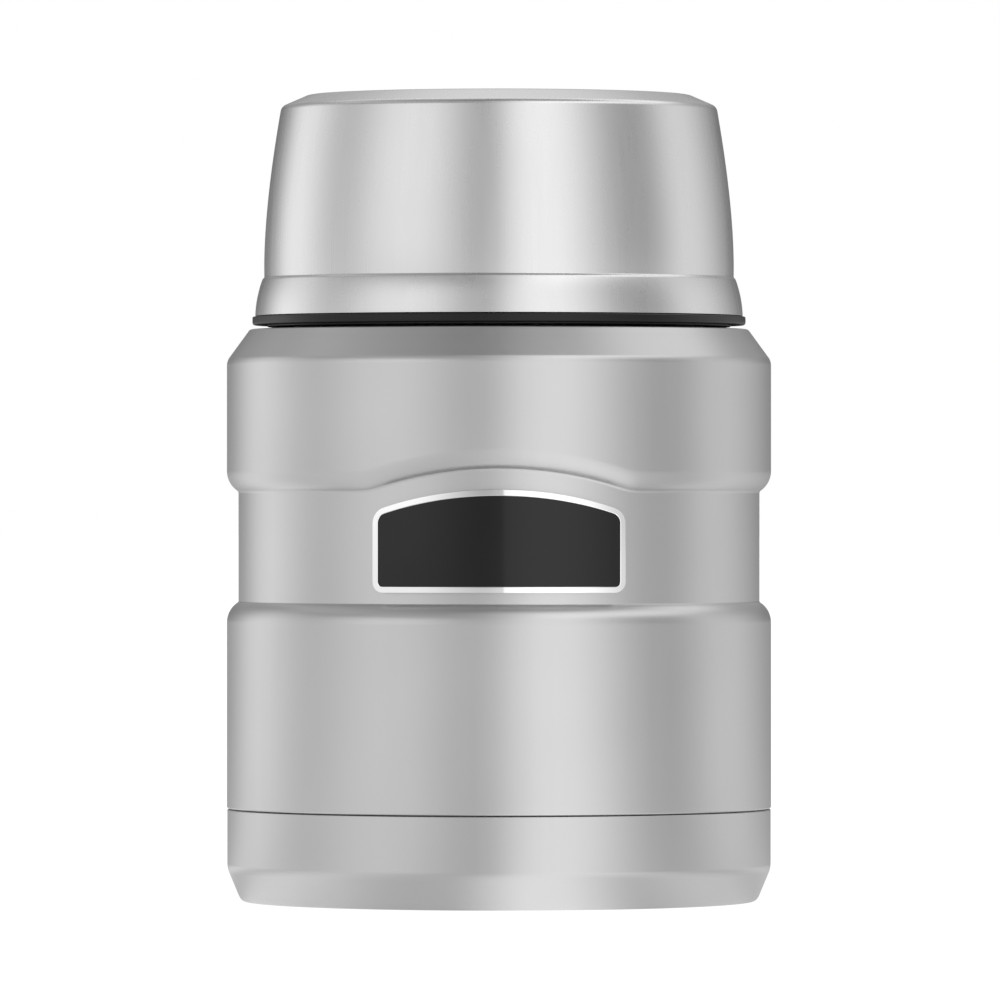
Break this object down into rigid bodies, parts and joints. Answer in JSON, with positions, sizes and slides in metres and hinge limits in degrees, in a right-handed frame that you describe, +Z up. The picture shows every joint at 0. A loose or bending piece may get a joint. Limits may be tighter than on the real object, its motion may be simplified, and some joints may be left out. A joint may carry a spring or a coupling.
{
  "type": "insulated food jar",
  "caption": "Vacuum-insulated steel food jar with a waisted body and blank badge, a screw stopper that stows a folding spoon, and a steel bowl lid that screws over it.",
  "frame": {"origin": "centre of the base, on the surface the jar stands on", "axes": "+Z up along the jar's axis, -Y towards the badge, +X to the right seen from the badge side"},
  "size_m": [0.094, 0.094, 0.1392],
  "materials": {
    "body_steel": "fine vertical satin brush",
    "base_steel": "fine satin",
    "vessel_steel": "smooth electropolished",
    "lid_steel": "smooth satin",
    "plate_steel": "plain sheet",
    "seal_solder": "dull bead",
    "getter_metal": "sintered grey",
    "foil": "bright foil",
    "adhesive": "translucent white",
    "badge_chrome": "polished",
    "badge_black": "satin black, blank",
    "stopper_plastic": "fine matt black",
    "liner_plastic": "satin black",
    "spoon_steel": "polished satin",
    "foam": "white foam",
    "silicone": "soft grey"
  },
  "bodies": {
    "jar": {"outer_shell": "body_steel", "inner_vessel": "vessel_steel", "vacuum_bottom_plate": "plate_steel", "evacuation_seal": "seal_solder", "getter_holder": "plate_steel", "getter_tablet": "getter_metal", "radiation_foil": "foil", "base_cap": "base_steel", "base_adhesive": "adhesive", "badge_tape": "adhesive", "badge_frame": "badge_chrome", "badge_face": "badge_black"},
    "gasket": {"stopper_gasket": "silicone"},
    "stopper": {"stopper_cap": "stopper_plastic", "stopper_plug": "stopper_plastic", "stopper_insulation": "foam"},
    "lid_ring": {"lid_rim_ring": "liner_plastic"},
    "lid": {"lid_shell": "lid_steel", "lid_liner": "liner_plastic", "lid_insulation": "foam"},
    "spoon": {"spoon_bowl": "spoon_steel", "spoon_rivet": "spoon_steel"},
    "handle": {"spoon_handle": "spoon_steel"}
  },
  "joints": [
    {"name": "stopper_rise", "type": "slide", "parent": "jar", "child": "gasket", "axis": [0, 0, 1], "range_m": [0, 0.0402]},
    {"name": "stopper_turn", "type": "hinge", "parent": "gasket", "child": "stopper", "pos_m": [0, 0, 0.107], "axis": [0, 0, 1], "range_deg": [0, 1440]},
    {"name": "lid_rise", "type": "slide", "parent": "stopper", "child": "lid_ring", "axis": [0, 0, 1], "range_m": [0, 0.1605]},
    {"name": "lid_turn", "type": "hinge", "parent": "lid_ring", "child": "lid", "pos_m": [0, 0, 0.1], "axis": [0, 0, 1], "range_deg": [0, 2880]},
    {"name": "spoon_lift", "type": "slide", "parent": "stopper", "child": "spoon", "axis": [0, 0, 1], "range_m": [0, 0.01605]},
    {"name": "spoon_unfold", "type": "hinge", "parent": "spoon", "child": "handle", "pos_m": [0.026, 0, 0.1269], "axis": [0, 1, 0], "range_deg": [0, 180.5]}
  ],
  "couplings": [
    {"joint": "stopper_rise", "follows": "stopper_turn", "m_per_rad": 0.0015915},
    {"joint": "lid_rise", "follows": "lid_turn", "m_per_rad": 0.0031831},
    {"joint": "spoon_lift", "follows": "lid_turn", "m_per_rad": 0.00031831},
    {"joint": "spoon_unfold", "follows": "lid_turn", "ratio": 0.0625}
  ]
}
